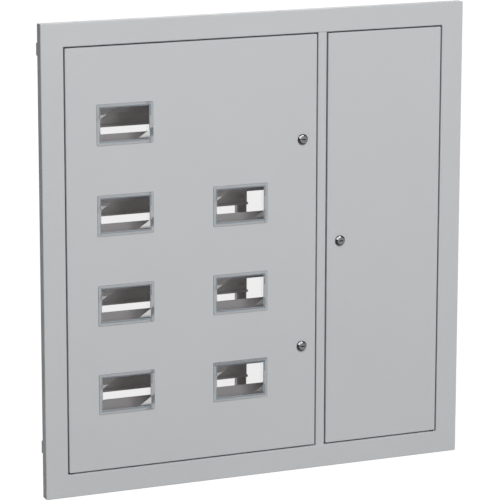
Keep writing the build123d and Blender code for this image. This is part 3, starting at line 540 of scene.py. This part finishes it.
turned, tree, shader = new_finish("turned_plug")
plug_place = tree.nodes.new("ShaderNodeTexCoord").outputs["Object"]
plug_lines = surface_noise(tree, 1800.0, 1.0, plug_place, (0.03, 0.03, 1.0))
plug_tone = two_tones(tree, plug_lines, (0.14, 0.14, 0.14), (0.26, 0.26, 0.26))
tree.links.new(plug_tone, shader.inputs["Base Color"])
tree.links.new(value_range(tree, plug_lines, 0.25, 0.42), shader.inputs["Roughness"])
shader.inputs["Metallic"].default_value = 1.0
raise_surface(tree, shader, plug_lines, 0.00004, 0.6)
finish_nodes([f"lock_{where}_plug" for where in lock_names], turned)

# Threads
# The welded studs carry a rolled M6 thread for the earth leads, and each lock's die-cast
# barrel, with its two flats, a finer one for the flat nut that clamps it to the door.


def thread(name, centre, axis, across, start, end, crest, pitch, flats=None, steps=20):
    """Helical ridge round an axis: a triangle across the ridge whose middle climbs one pitch a
    turn, from the root to the crest radius, and sinks at both ends. A point is the centre, plus
    the radius turned by the angle, plus the climb along the axis; flats cut two sides level."""
    axis = np.array(axis, float)
    side_a = np.array(across, float)
    side_b = np.cross(axis, side_a)
    turns = (end - start - pitch) / pitch
    angle = np.linspace(0, 2 * math.pi * turns, int(steps * turns) + 1)
    fade = np.clip(np.minimum(angle, angle[-1] - angle) / 1.5, 0, 1)
    rows = []
    for share, lift in ((-0.5, -0.15), (0.0, 1.0), (0.5, -0.15)):
        radius = crest[0] + (crest[1] - crest[0]) * lift * fade
        if flats:
            radius = np.minimum(radius, flats / 2 / np.maximum(np.abs(np.cos(angle)), 1e-6))
        climb = start + pitch / 2 + angle / (2 * math.pi) * pitch + share * pitch * 0.9
        rows.append(
            np.array(centre)
            + radius[:, None] * (np.cos(angle)[:, None] * side_a + np.sin(angle)[:, None] * side_b)
            + climb[:, None] * axis
        )
    count = len(angle)
    points = np.concatenate(rows)
    i = np.arange(count - 1)
    faces = []
    for a, b in ((0, 1), (1, 2), (2, 0)):
        faces.append(np.stack([a * count + i, a * count + i + 1, b * count + i + 1, b * count + i], 1))
    caps = [(0, count, 2 * count), (count - 1, 3 * count - 1, 2 * count - 1)]
    mesh = bpy.data.meshes.new(name)
    mesh.from_pydata(points.tolist(), [], np.concatenate(faces).tolist() + caps)
    piece = bpy.data.objects.new(name, mesh)
    bpy.context.scene.collection.objects.link(piece)
    return piece


stud_start, stud_end = 0.0068, 0.0138
stud_root, stud_crest = 0.0029, 0.0033
stud_pitch = 0.001
for stud_name, body, axis in (
    ("earth_stud", "enclosure", (0, 0, 1)),
    ("left_door_stud", "left_door", (0, 1, 0)),
    ("right_door_stud", "right_door", (0, 1, 0)),
):
    low, high = (np.array(corner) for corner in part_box(stud_name))
    foot = (low + high) / 2 - np.array(axis) * (high - low) / 2
    ridge = thread(
        f"{stud_name}_thread", foot, axis, (1, 0, 0), stud_start, stud_end,
        (stud_root, stud_crest), stud_pitch,
    )
    add_piece(ridge, zinc, body)

barrel_root, barrel_crest = 0.00895, 0.00930
barrel_pitch = 0.00125
barrel_flats = 0.01598
for where, body in lock_doors:
    low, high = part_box(f"lock_{where}_housing")
    nut_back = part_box(f"lock_{where}_nut")[1][1]
    centre = ((low[0] + high[0]) / 2, nut_back, (low[2] + high[2]) / 2)
    ridge = thread(
        f"lock_{where}_thread", centre, (0, 1, 0), (1, 0, 0), 0.0003, high[1] - nut_back - 0.0002,
        (barrel_root, barrel_crest), barrel_pitch, flats=barrel_flats, steps=28,
    )
    add_piece(ridge, chrome, body)

# Weld spots
# The stiffeners are spot-welded to the doors, and the rails to their uprights: the electrode
# leaves a shallow ring at each spot, which the paint or the plating follows.


def weld_spots(name, places, outward, radius, sides=20):
    """Low ring at each place: a point is the place, plus the ring's radius turned by an angle
    about the outward direction, plus a height that peaks near 0.7 of the spot's radius; the
    underside is a flat disc inside the sheet."""
    outward = np.array(outward, float)
    side_a = np.array([1.0, 0.0, 0.0])
    side_b = np.cross(outward, side_a)
    ring_r = np.array([1.0, 0.95, 0.8, 0.65, 0.45, 0.2]) * radius
    ring_h = np.array([-0.3, 0.02, 0.14, 0.13, 0.03, 0.01]) * 0.001
    rings = len(ring_r)
    angle = np.linspace(0, 2 * math.pi, sides, endpoint=False)[:, None, None]
    flat = (np.cos(angle) * side_a + np.sin(angle) * side_b) * ring_r[None, :, None]
    spot = (flat + ring_h[None, :, None] * outward).reshape(-1, 3)
    spot = np.concatenate([spot, [-0.0003 * outward, 0.00001 * outward]])
    under_centre, top_centre = sides * rings, sides * rings + 1
    i, j = np.meshgrid(np.arange(sides), np.arange(rings - 1), indexing="ij")
    here, beyond = i * rings + j, (i + 1) % sides * rings + j
    quads = np.stack([here, beyond, beyond + 1, here + 1], -1).reshape(-1, 4)
    here, beyond = here[:, 0], beyond[:, 0]
    under = np.stack([np.full(sides, under_centre), beyond, here], -1)
    top = np.stack([np.full(sides, top_centre), here + rings - 1, beyond + rings - 1], -1)
    points = np.array(places, float)[:, None, :] + spot[None]
    shift = (np.arange(len(places)) * len(spot))[:, None, None]
    faces = (quads[None] + shift).reshape(-1, 4).tolist()
    faces += (under[None] + shift).reshape(-1, 3).tolist()
    faces += (top[None] + shift).reshape(-1, 3).tolist()
    mesh = bpy.data.meshes.new(name)
    mesh.from_pydata(points.reshape(-1, 3).tolist(), [], faces)
    mesh.shade_smooth()
    piece = bpy.data.objects.new(name, mesh)
    bpy.context.scene.collection.objects.link(piece)
    return piece


sheet = 0.0015
foot_middle = 0.0045
end_distance = 0.03
for door in ("left_door", "right_door"):
    low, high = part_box(f"{door}_stiffener")
    heights = np.linspace(low[2] + end_distance, high[2] - end_distance, 12)
    feet = (low[0] + foot_middle, high[0] - foot_middle)
    places = [(x, low[1] + sheet, z) for x in feet for z in heights]
    spots = weld_spots(f"{door}_weld_spots", places, (0, 1, 0), 0.0028)
    add_piece(spots, grey_paint, door)

rail_gauge = 0.001
spot_lift = 0.0078
places = []
for i in range(1, 5):
    low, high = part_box(f"din_rail_{i}")
    middle = (low[2] + high[2]) / 2
    for post in ("post_left", "post_right"):
        post_low, post_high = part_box(post)
        post_x = (post_low[0] + post_high[0]) / 2
        places += [(post_x, high[1] - rail_gauge, middle + lift) for lift in (-spot_lift, spot_lift)]
spots = weld_spots("rail_weld_spots", places, (0, -1, 0), 0.0024)
add_piece(spots, zinc, "enclosure")
